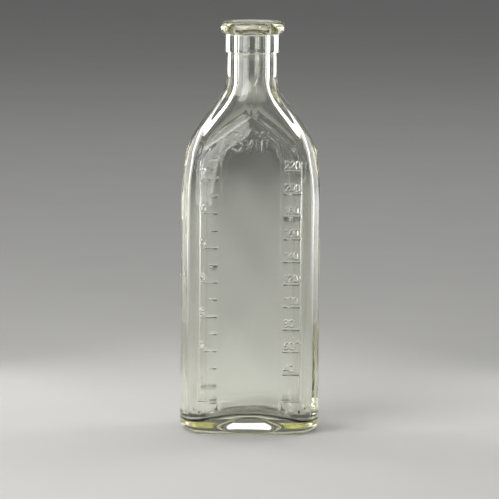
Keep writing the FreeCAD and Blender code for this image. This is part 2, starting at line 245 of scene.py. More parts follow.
# ---- form of the glass
@dataclass(frozen=True)
class OuterForm:
    """Outside of the bottle up to the neck, as a field that is negative in the glass and zero on its surface."""

    sizes: Sizes
    facet_slope: float = 0.506
    facet_radius: float = 48.0
    side_flat_half: float = 7.5
    front_blend: float = 2.4
    side_blend: float = 0.9
    gable_blend: float = 0.55
    neck_blend: float = 2.4
    apex_level: float = 141.9
    hip_lean: float = 0.729
    hip_sweep: float = 0.527
    ridge_half: float = 0.35
    ridge_round: float = 0.15
    heel_radius: float = 3.8
    waist_level: float = 101.0
    draw_in: float = 2.2
    slope_below_crease: float = -0.18
    slope_above_crease: float = -0.34
    shoulder_knots: tuple[Knot, ...] = ((133.5, 25.3, -0.54), (141.5, 19.9, -0.76), (149.5, 13.9, -0.72),
                                        (157.0, 9.4, -0.5))
    flat_slope: float = -0.05
    flat_top_knot: Knot = (157.0, 2.6, -0.2)

    def side(self, level: Array) -> Array:
        """Half width of the bottle's sides.

        Args:
            level: heights.

        Returns:
            The half width at each height.
        """
        crease, half = self.sizes.shoulder_level, self.sizes.half_width
        body = eased_curve([(self.waist_level, half, 0.0), (crease, half - self.draw_in, self.slope_below_crease)],
                           level)
        shoulder = eased_curve([(crease, half - self.draw_in, self.slope_above_crease), *self.shoulder_knots], level)
        return np.where(level < crease, body, shoulder)

    def side_flat(self, level: Array) -> Array:
        """Half of the flat part of the sides at each level."""
        crease_knot = (self.sizes.shoulder_level, self.side_flat_half, self.flat_slope)
        return eased_curve([crease_knot, self.flat_top_knot], level)

    def panels(self, x: Array, y: Array, level: Array, thickness: float | Array = 0.0,
               rounding: float = 0.0) -> Array:
        """The eight-sided body and the hipped shoulder.

        Args:
            x: distances along X.
            y: distances along Y.
            level: heights.
            thickness: how far inside the surface the field is zero.
            rounding: extra blending where two faces meet.

        Returns:
            The field.
        """
        across, deep = np.abs(x), np.abs(y)
        half, flat, depth = self.side(level), self.side_flat(level), self.sizes.half_depth
        front_half = half - (depth - flat) * self.facet_slope
        chord = np.hypot(half - front_half, depth - flat)
        inward = np.sqrt(self.facet_radius ** 2 - chord ** 2 / 4)
        centre_x = (half + front_half) / 2 - (depth - flat) / chord * inward
        centre_y = (depth + flat) / 2 - (half - front_half) / chord * inward
        facet = np.hypot(across - centre_x, deep - centre_y) - self.facet_radius
        field_value = soft_max(facet, across - half, self.side_blend + rounding / 2)
        field_value = soft_max(field_value, deep - depth, self.front_blend + rounding)
        ridge = np.maximum(across - self.ridge_half, 0.0)
        ridge = np.sqrt(ridge ** 2 + (self.ridge_round + rounding / 3) ** 2)
        tilt = math.sqrt(1 + self.hip_sweep ** 2 + self.hip_lean ** 2)
        hip = (deep - depth + self.hip_sweep * ridge + self.hip_lean * (level - self.apex_level)) / tilt
        return soft_max(field_value, hip, self.gable_blend + rounding) + thickness

    def field(self, x: Array, y: Array, level: Array) -> Array:
        """The outside surface: the panels joined softly to the neck, drawn in at the heel.

        Args:
            x: distances along X.
            y: distances along Y.
            level: heights.

        Returns:
            The field.
        """
        neck = np.hypot(x, y) - self.sizes.neck_radius
        heel = np.clip(self.heel_radius - level, 0.0, self.heel_radius)
        drawn_in = self.heel_radius - np.sqrt(self.heel_radius ** 2 - heel ** 2)
        return soft_min(self.panels(x, y, level) + drawn_in, neck, self.neck_blend)


@dataclass(frozen=True)
class InnerForm:
    """Inside of the bottle up to the neck: softer than the outside, with the glass thicker towards the neck."""

    outer: OuterForm
    bore_radius: float = 6.4
    wall_knots: tuple[Knot, ...] = ((105.0, 2.8, 0.0), (150.0, 5.0, 0.02))
    rounding: float = 4.0
    bore_blend: float = 4.0

    def field(self, x: Array, y: Array, level: Array) -> Array:
        """The inside surface, joined softly to the bore."""
        room = self.outer.panels(x, y, level, eased_curve([*self.wall_knots], level), self.rounding)
        return soft_min(room, np.hypot(x, y) - self.bore_radius, self.bore_blend)


def reach(form: OuterForm | InnerForm, angles: Array, levels: Array, inset: float = 0.0) -> Array:
    """Where rays from the axis meet a form's surface.

    Args:
        form: the form.
        angles: directions about the axis, in radians.
        levels: heights.
        inset: how far inside the surface to stop.

    Returns:
        Points, as an array of levels by angles by three.
    """
    angle, level = np.meshgrid(angles, levels)
    near, far = np.full_like(angle, RAY_NEAR), np.full_like(angle, RAY_FAR)
    for _ in range(RAY_HALVINGS):
        middle = (near + far) / 2
        outside = form.field(middle * np.cos(angle), middle * np.sin(angle), level) + inset > 0
        far, near = np.where(outside, middle, far), np.where(outside, near, middle)
    return np.stack([near * np.cos(angle), near * np.sin(angle), level], axis=-1)


# ---- raised marks
class Figure(Enum):
    """Strokes of each raised figure, in a cell of height 1.

    A line is (x, z, x, z); an arc is (centre x, centre z, radius, first angle, last angle) in degrees.
    """

    ZERO = ((0.28, 0.72, 0.28, 0, 180), (0.0, 0.72, 0.0, 0.28), (0.28, 0.28, 0.28, 180, 360), (0.56, 0.28, 0.56, 0.72))
    ONE = ((0.28, 0.0, 0.28, 1.0), (0.28, 1.0, 0.1, 0.84))
    TWO = ((0.28, 0.72, 0.28, -35, 180), (0.51, 0.56, 0.0, 0.0), (0.0, 0.0, 0.56, 0.0))
    THREE = ((0.26, 0.76, 0.24, -90, 160), (0.26, 0.26, 0.26, -160, 90))
    FOUR = ((0.42, 0.0, 0.42, 1.0), (0.42, 1.0, 0.0, 0.3), (0.0, 0.3, 0.58, 0.3))
    FIVE = ((0.5, 1.0, 0.06, 1.0), (0.06, 1.0, 0.06, 0.54), (0.26, 0.3, 0.3, -150, 130))
    SIX = ((0.28, 0.28, 0.28, 0, 360), (0.78, 0.28, 0.78, 115, 180))
    SEVEN = ((0.0, 1.0, 0.54, 1.0), (0.54, 1.0, 0.16, 0.0))
    EIGHT = ((0.28, 0.75, 0.25, 0, 360), (0.28, 0.26, 0.26, 0, 360))
    FIVE_UNITS = ((0.0, 1.0, 0.3, 0.0), (0.3, 0.0, 0.6, 1.0))
    ONE_UNIT = ((0.1, 0.0, 0.1, 1.0), (0.1, 1.68, 0.1, 1.74))
    OUNCE_SIGN = ((0.22, 1.86, 0.68, 1.86), (0.68, 1.86, 0.36, 1.4), (0.36, 1.4, 0.74, 1.4), (0.74, 1.4, 0.42, 0.84),
                  (0.42, 0.42, 0.42, -150, 90))


DIGITS = tuple(Figure)[:9]
CAPACITY_SIGNS = ((Figure.OUNCE_SIGN, 1.17), (Figure.FIVE_UNITS, 1.0), *[(Figure.ONE_UNIT, 0.49)] * 3)


class Side(Enum):
    """A side of the bottle, by the sign of its X."""

    LEFT = -1
    RIGHT = 1


@dataclass(frozen=True)
class Scale:
    """One measuring scale, as its lines stand from the lowest up."""

    lines_node: str
    side: Side
    steps: int  # equal steps that its lines span
    first: int  # step of the first numbered line
    every: int  # steps from one numbered line to the next; the lines between them are short
    first_number: int
    number_step: int


SCALES = (Scale("ounce_lines", Side.LEFT, 14, 1, 2, 1, 1), Scale("metric_lines", Side.RIGHT, 9, 0, 1, 40, 20))


@dataclass(frozen=True)
class Stroke:
    """One raised rib on the front panel: a line or an arc, its half width and its height."""

    shape: tuple[float, ...]
    half_width: float
    height: float
    softness: float = 0.34  # half the width over which the rib rises from the panel

    def box(self) -> tuple[float, float, float, float]:
        """Find what the rib covers.

        Returns:
            The lowest and highest x, then the lowest and highest z.
        """
        margin = self.half_width + self.softness
        if len(self.shape) == 4:
            x0, z0, x1, z1 = self.shape
            return min(x0, x1) - margin, max(x0, x1) + margin, min(z0, z1) - margin, max(z0, z1) + margin
        x, z, radius = self.shape[:3]
        return x - radius - margin, x + radius + margin, z - radius - margin, z + radius + margin

    def distance(self, x: Array, z: Array) -> Array:
        """Distance from the rib's middle line.

        Args:
            x: distances along X.
            z: heights.

        Returns:
            The distance of each point.
        """
        if len(self.shape) == 4:
            x0, z0, x1, z1 = self.shape
            length = max((x1 - x0) ** 2 + (z1 - z0) ** 2, 1e-9)
            share = np.clip(((x - x0) * (x1 - x0) + (z - z0) * (z1 - z0)) / length, 0, 1)
            return np.hypot(x - x0 - share * (x1 - x0), z - z0 - share * (z1 - z0))
        centre_x, centre_z, radius, start, end = self.shape
        middle, half = math.radians((start + end) / 2), math.radians((end - start) / 2)
        angle = np.arctan2(z - centre_z, x - centre_x) - middle
        angle = np.clip((angle + math.pi) % (2 * math.pi) - math.pi, -half, half) + middle
        return np.hypot(x - centre_x - radius * np.cos(angle), z - centre_z - radius * np.sin(angle))

    def raised(self, x: Array, z: Array) -> Array:
        """Height of the rib above the panel."""
        foot = self.half_width + self.softness
        return self.height * (1 - smooth_step(self.half_width - self.softness, foot, self.distance(x, z)))


@dataclass
class FrontMarks:
    """Raised measuring scales, panel borders and capacity mark on the front panel."""

    relief: float = 0.40
    line_width: float = 0.55
    line_half_width: float = 0.26
    short_share: float = 0.41
    digit_lift: float = 1.1
    digit_height: float = 3.0
    digit_half_width: float = 0.2
    digit_step: float = 0.82
    narrow_step: float = 0.6
    figure_softness: float = 0.22
    capacity_level: float = 126.6
    capacity_height: float = 4.8
    capacity_left: float = -8.2
    capacity_half_width: float = 0.34
    border_half_width: float = 0.6
    border_bend: float = 10.0
    border_lean: float = 2.1
    band_half_width: float = 0.24
    band_height: float = 0.34
    band_gap: float = 0.8
    spur_levels: tuple[float, ...] = (70.0, 40.6)
    spur_inset: float = 1.7
    spur_arc: tuple[float, float, float] = (1.5, -25, 110)
    strokes: list[Stroke] = field(default_factory=list)

    def line(self, x0: float, z0: float, x1: float, z1: float, half_width: float, height: float) -> None:
        """Add one straight rib."""
        self.strokes.append(Stroke((x0, z0, x1, z1), half_width, height))

    def figure(self, figure: Figure, x: float, z: float, height: float, half_width: float) -> None:
        """Add a figure's ribs.

        Args:
            figure: the figure.
            x: its left edge.
            z: its foot.
            height: its height.
            half_width: half the width of its ribs.
        """
        for shape in figure.value:
            x0, z0, *rest = shape
            if len(shape) == 4:
                scaled = (x + x0 * height, z + z0 * height, x + rest[0] * height, z + rest[1] * height)
            else:
                scaled = (x + x0 * height, z + z0 * height, rest[0] * height, *rest[1:])
            self.strokes.append(Stroke(scaled, half_width, self.relief, self.figure_softness))

    def number(self, value: int, x: float, z: float) -> None:
        """Add a number's digits.

        Args:
            value: the number.
            x: its left edge.
            z: its foot.
        """
        for digit in map(int, str(value)):
            self.figure(DIGITS[digit], x, z, self.digit_height, self.digit_half_width)
            x += (self.narrow_step if digit == 1 else self.digit_step) * self.digit_height

    def scale(self, scale: Scale) -> None:
        """Add a scale's lines and numbers.

        Args:
            scale: the scale.
        """
        low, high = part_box(scale.lines_node)
        bottom, top = low.z / MM + self.line_width / 2, high.z / MM - self.line_width / 2
        inner, outer = sorted((abs(low.x / MM), abs(high.x / MM)))
        pitch, sign = (top - bottom) / scale.steps, scale.side.value
        left = (-outer if scale.side is Side.LEFT else inner) + sign * self.line_width
        for i in range(scale.steps + 1):
            level = bottom + i * pitch
            turn, between = divmod(i - scale.first, scale.every)
            length = self.short_share * (outer - inner) if between else outer - inner
            self.line(sign * inner, level, sign * (inner + length), level, self.line_half_width, self.relief)
            if not between:
                self.number(scale.first_number + scale.number_step * turn, left, level + self.digit_lift)

    def borders(self) -> None:
        """Add the raised borders of the plain panel and the lines that close the scale bands."""
        low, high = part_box("panel_borders")
        half = high.x / MM - self.border_half_width
        bottom, top = low.z / MM, high.z / MM
        bend = top - self.border_bend
        band_low, band_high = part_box("band_borders")
        band, foot = band_high.x / MM - self.line_width / 2, band_low.z / MM
        border, edge = (self.border_half_width, self.relief), (self.band_half_width, self.band_height)
        for sign in (side.value for side in Side):
            self.line(sign * half, bottom, sign * half, bend, *border)
            self.line(sign * half, bend, sign * (half - self.border_lean), top, *border)
            self.line(sign * band, foot, sign * band, band_high.z / MM, *edge)
            self.line(sign * band, foot, sign * (half + self.band_gap), foot, *edge)

    def capacity(self) -> None:
        """Add the capacity mark: the apothecary's ounce sign and the numeral eight."""
        x = self.capacity_left
        for figure, step in CAPACITY_SIGNS:
            self.figure(figure, x, self.capacity_level, self.capacity_height, self.capacity_half_width)
            x += step * self.capacity_height

    def spurs(self) -> None:
        """Add the short hooked spurs on the right band's border."""
        x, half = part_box("band_borders")[1].x / MM - self.spur_inset, self.line_half_width
        for level in self.spur_levels:
            self.strokes.append(Stroke((x, level, *self.spur_arc), half, self.relief, half))

    def carve(self) -> None:
        """Lay out every raised mark."""
        for scale in SCALES:
            self.scale(scale)
        self.borders()
        self.spurs()
        self.capacity()

    def height(self, x: Array, z: Array) -> Array:
        """Height of the marks above the front panel.

        Args:
            x: distances along X.
            z: heights.

        Returns:
            The height at each point.
        """
        total = np.zeros_like(x)
        for stroke in self.strokes:
            x_low, x_high, z_low, z_high = stroke.box()
            near = (x >= x_low) & (x <= x_high) & (z >= z_low) & (z <= z_high)
            total[near] = np.maximum(total[near], stroke.raised(x[near], z[near]))
        return total


# ---- the glass mesh
@dataclass(frozen=True)
class Window:
    """A part of the outside that has a finer net: its column angles and row levels, all within the coarse net."""

    angles: Array
    levels: Array


@dataclass
class Net:
    """Vertices and faces of one closed mesh, gathered row by row from coarse rows and finer windows."""

    points: list[Array] = field(default_factory=list)
    faces: list[tuple[int, ...]] = field(default_factory=list)
    count: int = 0

    def add(self, points: Array) -> Array:
        """Add points.

        Args:
            points: the points, as an array whose last axis is x, y, z.

        Returns:
            Their vertex numbers, in the same arrangement.
        """
        numbers = np.arange(self.count, self.count + points[..., 0].size).reshape(points.shape[:-1])
        self.points.append(points.reshape(-1, 3))
        self.count += numbers.size
        return numbers

    def cap(self, row: Array, level: float, upward: bool) -> None:
        """Close a row with a fan about the axis.

        Args:
            row: the row's vertex numbers.
            level: height of the fan's middle.
            upward: true where the fan faces up.
        """
        centre = int(self.add(np.array([0.0, 0.0, level])).item())
        for a, b in zip(row.tolist(), np.roll(row, -1).tolist()):
            self.faces.append((centre, a, b) if upward else (centre, b, a))

    def band(self, lower: Array, upper: Array) -> None:
        """Join two rows of the same columns with quads."""
        corners = (lower, np.roll(lower, -1), np.roll(upper, -1), upper)
        self.faces += zip(*(corner.tolist() for corner in corners))

    def mesh(self, name: str) -> bpy.types.Mesh:
        """Make the mesh, in metres.

        Args:
            name: the mesh's name.

        Returns:
            The mesh.
        """
        made = bpy.data.meshes.new(name)
        made.from_pydata((np.concatenate(self.points) * MM).tolist(), [], self.faces)
        made.validate()
        made.polygons.foreach_set("use_smooth", [True] * len(made.polygons))
        made.update()
        return made


@dataclass(frozen=True)
class Flaw:
    """A nub on a mould seam or, where its height is negative, a nick."""

    side: Side
    level: float
    height: float
    length: float


@dataclass
class BottleGlass:
    """The whole bottle as one closed piece of glass."""

    sizes: Sizes
    columns: int = 116
    outline_rays: int = 2880
    outline_level: float = 60.0
    floor_level: float = 4.2
    floor_dome: float = 2.2
    floor_radius: float = 4.5
    arch_height: float = 3.6
    arch_half: float = 24.0
    arch_top: float = 34.0
    pushup_height: float = 6.0
    foot_share: float = 0.76
    mouth_radius: float = 9.7
    front_half: float = 23.7
    border_half: float = 12.6
    seam_height: float = 0.13
    seam_half: float = 0.3
    seam_columns: tuple[float, ...] = (0.0085, 0.02)
    seam_clearance: float = 0.016
    flaws: tuple[Flaw, ...] = (Flaw(Side.RIGHT, 125.4, 0.5, 0.6), Flaw(Side.LEFT, 125.4, 0.25, 0.6),
                               Flaw(Side.LEFT, 69.4, 0.35, 0.8), Flaw(Side.LEFT, 67.2, -0.45, 0.7))
    flaw_half: float = 0.55
    outer_wave: float = 0.035
    inner_wave: float = 0.11
    inner_phase: float = 1.3
    fine_step: float = 0.27
    plain_step: float = 0.6
    gable_level: float = 124.0
    back_step: float = 0.7
    column_gap: float = 0.0022
    row_gap: float = 0.07
    outer: OuterForm = field(init=False)
    inner: InnerForm = field(init=False)
    marks: FrontMarks = field(init=False)

    def __post_init__(self) -> None:
        """Set up the forms and the marks."""
        self.outer = OuterForm(self.sizes)
        self.inner = InnerForm(self.outer)
        self.marks = FrontMarks()
        self.marks.carve()

    def coarse_angles(self) -> Array:
        """Column directions, evenly spaced along the body's outline, with the windows' edges among them.

        Returns:
            The directions about the axis, in radians.
        """
        turns = np.linspace(-math.pi, math.pi, self.outline_rays + 1)[:-1]
        outline = reach(self.outer, turns, np.array([self.outline_level]))[0]
        steps = np.linalg.norm(np.roll(outline, -1, axis=0) - outline, axis=1)
        along = np.concatenate([[0.0], np.cumsum(steps)])
        even = np.interp(np.arange(self.columns) * along[-1] / self.columns, along, np.append(turns, math.pi))
        edge = math.atan2(self.sizes.half_depth, self.front_half)
        for corner in (edge, math.pi - edge, -edge, edge - math.pi):
            even[np.argmin(np.abs(even - corner))] = corner
        beside = np.array(self.seam_columns)
        seams = np.concatenate([-beside, [0.0], beside, -math.pi + beside, [-math.pi], math.pi - beside])
        clear = np.min(np.abs(even[:, None] - np.append(seams, math.pi)[None, :]), axis=1) > self.seam_clearance
        return np.sort(np.concatenate([even[clear], seams]))

    def window(self, back: bool, fine_columns: Array, fine_rows: Array, angles: Array, levels: Array) -> Window:
        """A finer net over the front or the back panel.

        Args:
            back: true for the back panel.
            fine_columns: places along X of the fine columns.
            fine_rows: levels of the fine rows.
            angles: the coarse columns.
            levels: the coarse rows.

        Returns:
            The window.
        """
        depth = self.sizes.half_depth * (1 if back else -1)
        fine = np.arctan2(np.full_like(fine_columns, depth), fine_columns)
        low, high = angles[np.argmin(np.abs(angles - fine.min()))], angles[np.argmin(np.abs(angles - fine.max()))]
        own = angles[(angles >= low - SAME) & (angles <= high + SAME)]
        bottom, top = levels[levels <= fine_rows.min()].max(), levels[levels <= fine_rows.max()].max()
        rows = levels[(levels >= bottom - SAME) & (levels <= top + SAME)]
        return Window(merged(own, fine, self.column_gap), merged(rows, fine_rows, self.row_gap))

    def surface(self, angles: Array, levels: Array) -> Array:
        """Points of the outside, with the raised marks and the gentle waves of moulded glass.

        Args:
            angles: directions about the axis, in radians.
            levels: heights.

        Returns:
            The points, as an array of levels by angles by three.
        """
        points = reach(self.outer, angles, levels)
        rise = self.marks.height(points[..., 0], points[..., 2])
        points[..., 1] -= np.where(points[..., 1] < 0, rise, 0.0)
        return self.seamed(self.waved(points, self.outer_wave, 0.0))

    def seamed(self, points: Array) -> Array:
        """Raise the two mould seams along the sides, with the small flaws that sit on them.

        Args:
            points: points of the outside.

        Returns:
            The moved points.
        """
        x, y, level = points[..., 0], points[..., 1], points[..., 2]
        across = np.exp(-(y / self.seam_half) ** 2)
        fade = smooth_step(0.5, 3.5, level) * (1 - smooth_step(self.sizes.lip_level, self.sizes.lip_level + 1, level))
        rise = self.seam_height * across * fade
        for flaw in self.flaws:
            spot = np.exp(-(y / self.flaw_half) ** 2 - ((level - flaw.level) / flaw.length) ** 2)
            rise = rise + np.where(x * flaw.side.value > 0, flaw.height * spot, 0.0)
        raised = points.copy()
        raised[..., 0] += np.sign(x) * rise * (np.abs(y) < 4)
        return raised

    def waved(self, points: Array, depth: float, phase: float) -> Array:
        """Push points in and out from the axis by gentle waves.

        Args:
            points: the points.
            depth: the waves' height.
            phase: where the waves start, so that two surfaces differ.

        Returns:
            The moved points.
        """
        x, y, z = points[..., 0], points[..., 1], points[..., 2]
        turn = np.arctan2(y, x)
        wave = (np.sin(0.06 * z + 2 * turn + phase) + 0.8 * np.sin(0.1 * z - 3 * turn + 1.7 + phase)
                + 0.5 * np.sin(0.17 * z + 5 * turn + 0.6 + 2 * phase) + 0.5 * np.sin(0.04 * z - 7 * turn + 2.9 * phase))
        inside_ends = smooth_step(7.0, 16.0, z) * (1 - smooth_step(150.0, 160.0, z))
        shift = depth * wave * inside_ends
        distance = np.maximum(np.hypot(x, y), 1e-6)
        return points + np.stack([shift * x / distance, shift * y / distance, np.zeros_like(z)], axis=-1)

    def neck_path(self) -> list[Point]:
        """Profile of the neck, collar, lip and mouth, from the neck's foot outside to its foot inside.

        Returns:
            The profile's points.
        """
        s, top, bore = self.sizes, self.sizes.height, self.inner.bore_radius
        heel, edge, flare, bead, rim, funnel = 1.1, 0.55, 3.9, 2.3, 0.9, 2.3  # radii of the profile's arcs
        path = [(s.neck_radius, level) for level in np.linspace(s.neck_level + 2.6, s.collar_level - 2.4, 9)]
        path += [(s.neck_radius - 0.12, s.collar_level - 1.2), (s.neck_radius - 0.25, s.collar_level - 0.2)]
        path += arc((s.collar_radius - heel, s.collar_level + 1.15), heel, -88, 0, 7)
        path += [(s.collar_radius, level) for level in np.linspace(s.collar_level + 2.0, s.lip_level - 0.9, 5)]
        path += arc((s.collar_radius - edge, s.lip_level - edge), edge, 8, 75, 4)
        path += [(s.collar_radius - 0.45, s.lip_level - 0.02)]
        path += arc((s.lip_radius - flare, s.lip_level + 3.3), flare, -56, 0, 10)
        path += arc((s.lip_radius - bead, top - bead), bead, 4, 90, 8)
        path += [(radius, top - 0.05) for radius in (11.8, 11.2)]
        path += arc((self.mouth_radius + rim, top - 0.98), rim, 100, 160, 5)
        path += [(9.35, top - 1.75), (8.7, top - 2.35)]
        path += arc((bore + funnel, top - 4.9), funnel, 108, 180, 7)
        path += [(bore, level) for level in np.linspace(top - 6.0, s.neck_level + 3.0, 14)]
        return path

    def fine_columns(self) -> Array:
        """Places across the front panel where its net is fine: the scale bands, then the plain panel and ridge.

        Returns:
            The places along X.
        """
        band = np.arange(self.border_half, self.front_half, self.fine_step)
        plain = np.arange(self.outer.ridge_half, self.border_half, self.plain_step)
        half = np.concatenate([plain, band])
        return np.sort(np.concatenate([-half, [0.0], half]))

    def fine_rows(self) -> Array:
        """Levels where the front panel's net is fine: wherever a raised mark or the gable needs it.

        Returns:
            The levels, in rising order.
        """
        apex, closest, longest = 143.6, 0.24, 8
        rows = [np.arange(self.gable_level, apex, 0.34), np.arange(apex, 157.0, self.plain_step)]
        for stroke in self.marks.strokes:
            _, _, low, high = stroke.box()
            if high - low < longest:
                rows.append(np.arange(low, high + 0.01, self.fine_step))
        together = np.sort(np.concatenate(rows))
        kept = [together[0]]
        for level in together[1:]:
            if level - kept[-1] > closest:
                kept.append(level)
        return np.array(kept)

    def outside_levels(self) -> Array:
        """Coarse rows of the outside, from the foot to the neck's foot, closer at the seams' flaws and the crease.

        Returns:
            The levels, in rising order.
        """
        heel = self.outer.heel_radius * (1 - np.cos(np.radians(np.linspace(0, 90, 9))))
        crease = self.sizes.shoulder_level
        return np.sort(np.concatenate([
            heel, [4.6, 6.4, 8.8], np.arange(12.0, 66.5, 3.6), [66.8, 67.5, 68.3, 69.0], np.arange(69.6, 121.0, 3.6),
            [70.4], [121.6, 123.4, crease - 0.45, crease, crease + 0.45],
            np.arange(crease + 1.4, self.sizes.neck_level + 2.4, 1.15)]))

    def outside(self, net: Net, angles: Array) -> tuple[Array, Array]:
        """Add the outside from the foot to the neck's foot, with its finer windows.

        Args:
            net: the net to add to.
            angles: the coarse columns.

        Returns:
            The vertex numbers of the lowest and the highest row.
        """
        levels = self.outside_levels()
        rows = self.fine_rows()
        back_columns = np.arange(-self.front_half, self.front_half, self.back_step)
        windows = [self.window(False, self.fine_columns(), rows, angles, levels),
                   self.window(True, back_columns, rows[rows > self.gable_level], angles, levels)]
        coarse = net.add(self.surface(angles, levels))
        covered = np.zeros((len(levels) - 1, len(angles)), bool)
        beside: EdgeVertices = {}
        for window in windows:
            self.fill_window(net, window, angles, levels, coarse, covered, beside)
        for i in range(len(levels) - 1):
            for j in range(len(angles)):
                if covered[i, j]:
                    continue
                after = (j + 1) % len(angles)
                polygon: list[int] = []
                for corner, edge in ((coarse[i, j], "below"), (coarse[i, after], "after"),
                                     (coarse[i + 1, after], "above"), (coarse[i + 1, j], "before")):
                    polygon += [int(corner), *beside.get((i, j, edge), [])]
                net.faces.append(tuple(polygon))
        return coarse[0], coarse[-1]

    def fill_window(self, net: Net, window: Window, angles: Array, levels: Array, coarse: Array, covered: Array,
                    beside: EdgeVertices) -> None:
        """Add one finer window, and note its edge vertices for the coarse cells beside it.

        Args:
            net: the net to add to.
            window: the window.
            angles: the coarse columns.
            levels: the coarse rows.
            coarse: vertex numbers of the coarse net.
            covered: coarse cells that a window stands for; filled in here.
            beside: the edges' extra vertices; filled in here.
        """
        points = self.surface(window.angles, window.levels)
        column_of, row_of = shared_places(window.angles, angles), shared_places(window.levels, levels)
        shared = np.zeros(points.shape[:2], bool)
        shared[np.ix_(sorted(row_of), sorted(column_of))] = True
        numbers = np.zeros(points.shape[:2], int)
        numbers[~shared] = net.add(points[~shared])
        for r, i in row_of.items():
            for c, j in column_of.items():
                numbers[r, c] = coarse[i, j]
        quads = np.stack([numbers[:-1, :-1], numbers[:-1, 1:], numbers[1:, 1:], numbers[1:, :-1]], axis=-1)
        net.faces += map(tuple, quads.reshape(-1, 4).tolist())
        window_rows, window_columns = sorted(row_of), sorted(column_of)
        low, high = row_of[window_rows[0]], row_of[window_rows[-1]]
        first, last = column_of[window_columns[0]], column_of[window_columns[-1]]
        covered[low:high, first:last] = True
        for a, b in zip(window_rows, window_rows[1:]):
            i = row_of[a]
            beside[(i, first - 1, "after")] = numbers[a + 1:b, 0].tolist()
            beside[(i, last, "before")] = numbers[a + 1:b, -1][::-1].tolist()
        for a, b in zip(window_columns, window_columns[1:]):
            j = column_of[a]
            beside[(low - 1, j, "above")] = numbers[0, a + 1:b][::-1].tolist()
            beside[(high, j, "below")] = numbers[-1, a + 1:b].tolist()

    def underside(self, net: Net, foot: Array) -> list[Array]:
        """Rows under the base, from the middle of the push-up out to the foot ring.

        Args:
            net: the net to add to.
            foot: points of the foot's outer edge.

        Returns:
            The rows' vertex numbers.
        """
        rows = []
        for share in np.concatenate([np.linspace(0.06, self.foot_share, 12), [0.84, 0.92]]):
            ring = foot * share
            rise = max(0.0, 1 - (share / self.foot_share) ** 2) ** 1.4
            ring[:, 2] = self.pushup_height * rise
            rows.append(net.add(ring))
        return rows

    def inside(self, net: Net, angles: Array) -> list[Array]:
        """Rows of the inside, from the neck's foot down to the middle of the floor.

        Args:
            net: the net to add to.
            angles: the columns.

        Returns:
            The rows' vertex numbers.
        """
        bend = self.floor_level + self.floor_radius
        levels = np.concatenate([np.linspace(self.sizes.neck_level + 1.6, 126.4, 28), np.arange(124.4, bend, -3.4),
                                 [bend]])
        walls = self.waved(reach(self.inner, angles, levels), self.inner_wave, self.inner_phase)
        rows = [net.add(self.arched(row)) for row in walls]
        for turn in np.radians(np.linspace(12, 78, 7)):
            level = np.array([self.floor_level + self.floor_radius * (1 - math.sin(turn))])
            ring = reach(self.inner, angles, level, self.floor_radius * (1 - math.cos(turn)))[0]
            rows.append(net.add(self.arched(ring)))
        for share in np.linspace(0.92, 0.06, 11):
            low = ring * share
            low[:, 2] = ring[0, 2] - 0.1 + self.floor_dome * (1 - share ** 2) ** 1.3
            rows.append(net.add(self.arched(low)))
        return rows

    def arched(self, points: Array) -> Array:
        """Raise points near the floor into its arch over the push-up, which spans from side to side.

        Args:
            points: points of the inside.

        Returns:
            The moved points.
        """
        x, level = points[..., 0], points[..., 2]
        arch = self.arch_height * np.maximum(1 - (x / self.arch_half) ** 2, 0.0) ** 1.2
        raised = points.copy()
        raised[..., 2] += arch * (1 - smooth_step(self.floor_level + self.floor_radius, self.arch_top, level))
        return raised

    def make(self) -> bpy.types.Object:
        """Build the glass and put it in the scene.

        Returns:
            The bottle's object.
        """
        angles = self.coarse_angles()
        net = Net()
        foot, top = self.outside(net, angles)
        foot_points = np.concatenate(net.points)[foot]
        under = self.underside(net, foot_points)
        net.cap(under[0], self.pushup_height, upward=False)
        for lower, upper in zip(under, [*under[1:], foot]):
            net.band(lower, upper)
        rows = [top]
        for radius, level in self.neck_path():
            ring = np.stack([radius * np.cos(angles), radius * np.sin(angles), np.full_like(angles, level)], axis=-1)
            rows.append(net.add(self.seamed(ring) if radius > self.inner.bore_radius + 4 else ring))
        rows += self.inside(net, angles)
        for lower, upper in zip(rows, rows[1:]):
            net.band(lower, upper)
        net.cap(rows[-1], self.floor_level + 0.05 + self.floor_dome + self.arch_height, upward=True)
        return placed("bottle_glass", net.mesh("bottle_glass"))


# ---- finishes
@dataclass(frozen=True)
class SodaLimeGlass:
    """Old moulded soda-lime glass: clear, pale yellow-green where it is thick, with a faintly uneven skin."""

    surface: str = "#FDFEFA"
    ior: float = 1.52
    thick_tint: str = "#E9E7B0"
    density: float = 12.0
    wave_mm: float = 9.0
    wave_height_mm: float = 0.05
    wave_strength: float = 0.35
    haze_mm: float = 14.0
    haze_from: float = 0.55
    haze_to: float = 0.8
    haze_roughness: float = 0.012

    def material(self) -> bpy.types.Material:
        """Make the glass material.

        Returns:
            The material.
        """
        made = bpy.data.materials.new("soda_lime_glass")
        tree = emptied(made)
        place = node(tree, "TexCoord").outputs["Object"]
        wave = node(tree, "TexNoise", {"Scale": 1 / (self.wave_mm * MM), "Detail": 1.5, "Roughness": 0.4},
                    {"Vector": place})
        haze = node(tree, "TexNoise", {"Scale": 1 / (self.haze_mm * MM), "Detail": 5.0, "Roughness": 0.6},
                    {"Vector": place})
        spread = node(tree, "MapRange",
                      {"From Min": self.haze_from, "From Max": self.haze_to, "To Max": self.haze_roughness},
                      {"Value": haze.outputs["Fac"]})
        bump = node(tree, "Bump", {"Strength": self.wave_strength, "Distance": self.wave_height_mm * MM},
                    {"Height": wave.outputs["Fac"]})
        shader = node(tree, "BsdfPrincipled",
                      {"Base Color": linear(self.surface), "IOR": self.ior, "Transmission Weight": 1.0},
                      {"Roughness": spread.outputs["Result"], "Normal": bump.outputs["Normal"]})
        absorb = node(tree, "VolumeAbsorption", {"Color": linear(self.thick_tint), "Density": self.density})
        node(tree, "OutputMaterial", links={"Surface": shader.outputs["BSDF"], "Volume": absorb.outputs["Volume"]})
        return made


